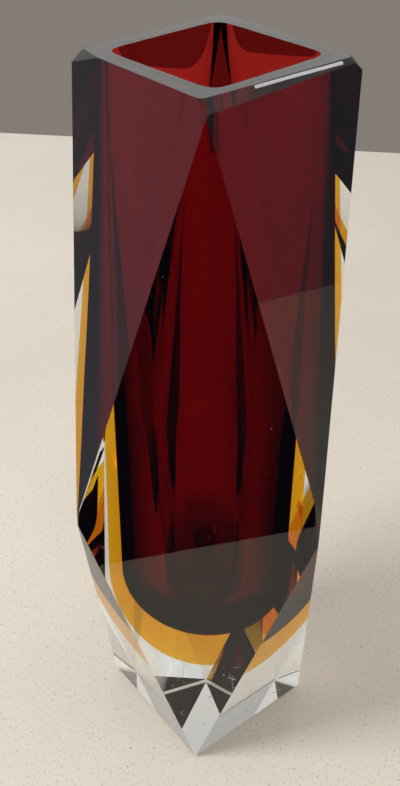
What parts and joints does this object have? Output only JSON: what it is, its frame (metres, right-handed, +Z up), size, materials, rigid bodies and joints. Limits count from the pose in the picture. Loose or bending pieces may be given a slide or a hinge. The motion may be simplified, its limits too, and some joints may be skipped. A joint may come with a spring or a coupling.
{
  "type": "cased glass block vase",
  "caption": "Tall faceted glass block vase: a ruby core with a square mouth inside an amber layer and a thick clear casing with cut and polished faces, rim and foot.",
  "frame": {"origin": "middle of the foot, on the surface that the vase stands on", "axes": "+Z up along the vase, -Y out of the tall six-sided face that points at the viewer, +X to that viewer's right"},
  "size_m": [0.074, 0.074, 0.25],
  "materials": {
    "clear_glass": "cut and polished",
    "amber_glass": "fire polished, fused both sides",
    "ruby_glass": "fire polished"
  },
  "bodies": {
    "root": {"clear_casing": "clear_glass", "amber_layer": "amber_glass", "ruby_core": "ruby_glass"}
  },
  "joints": []
}
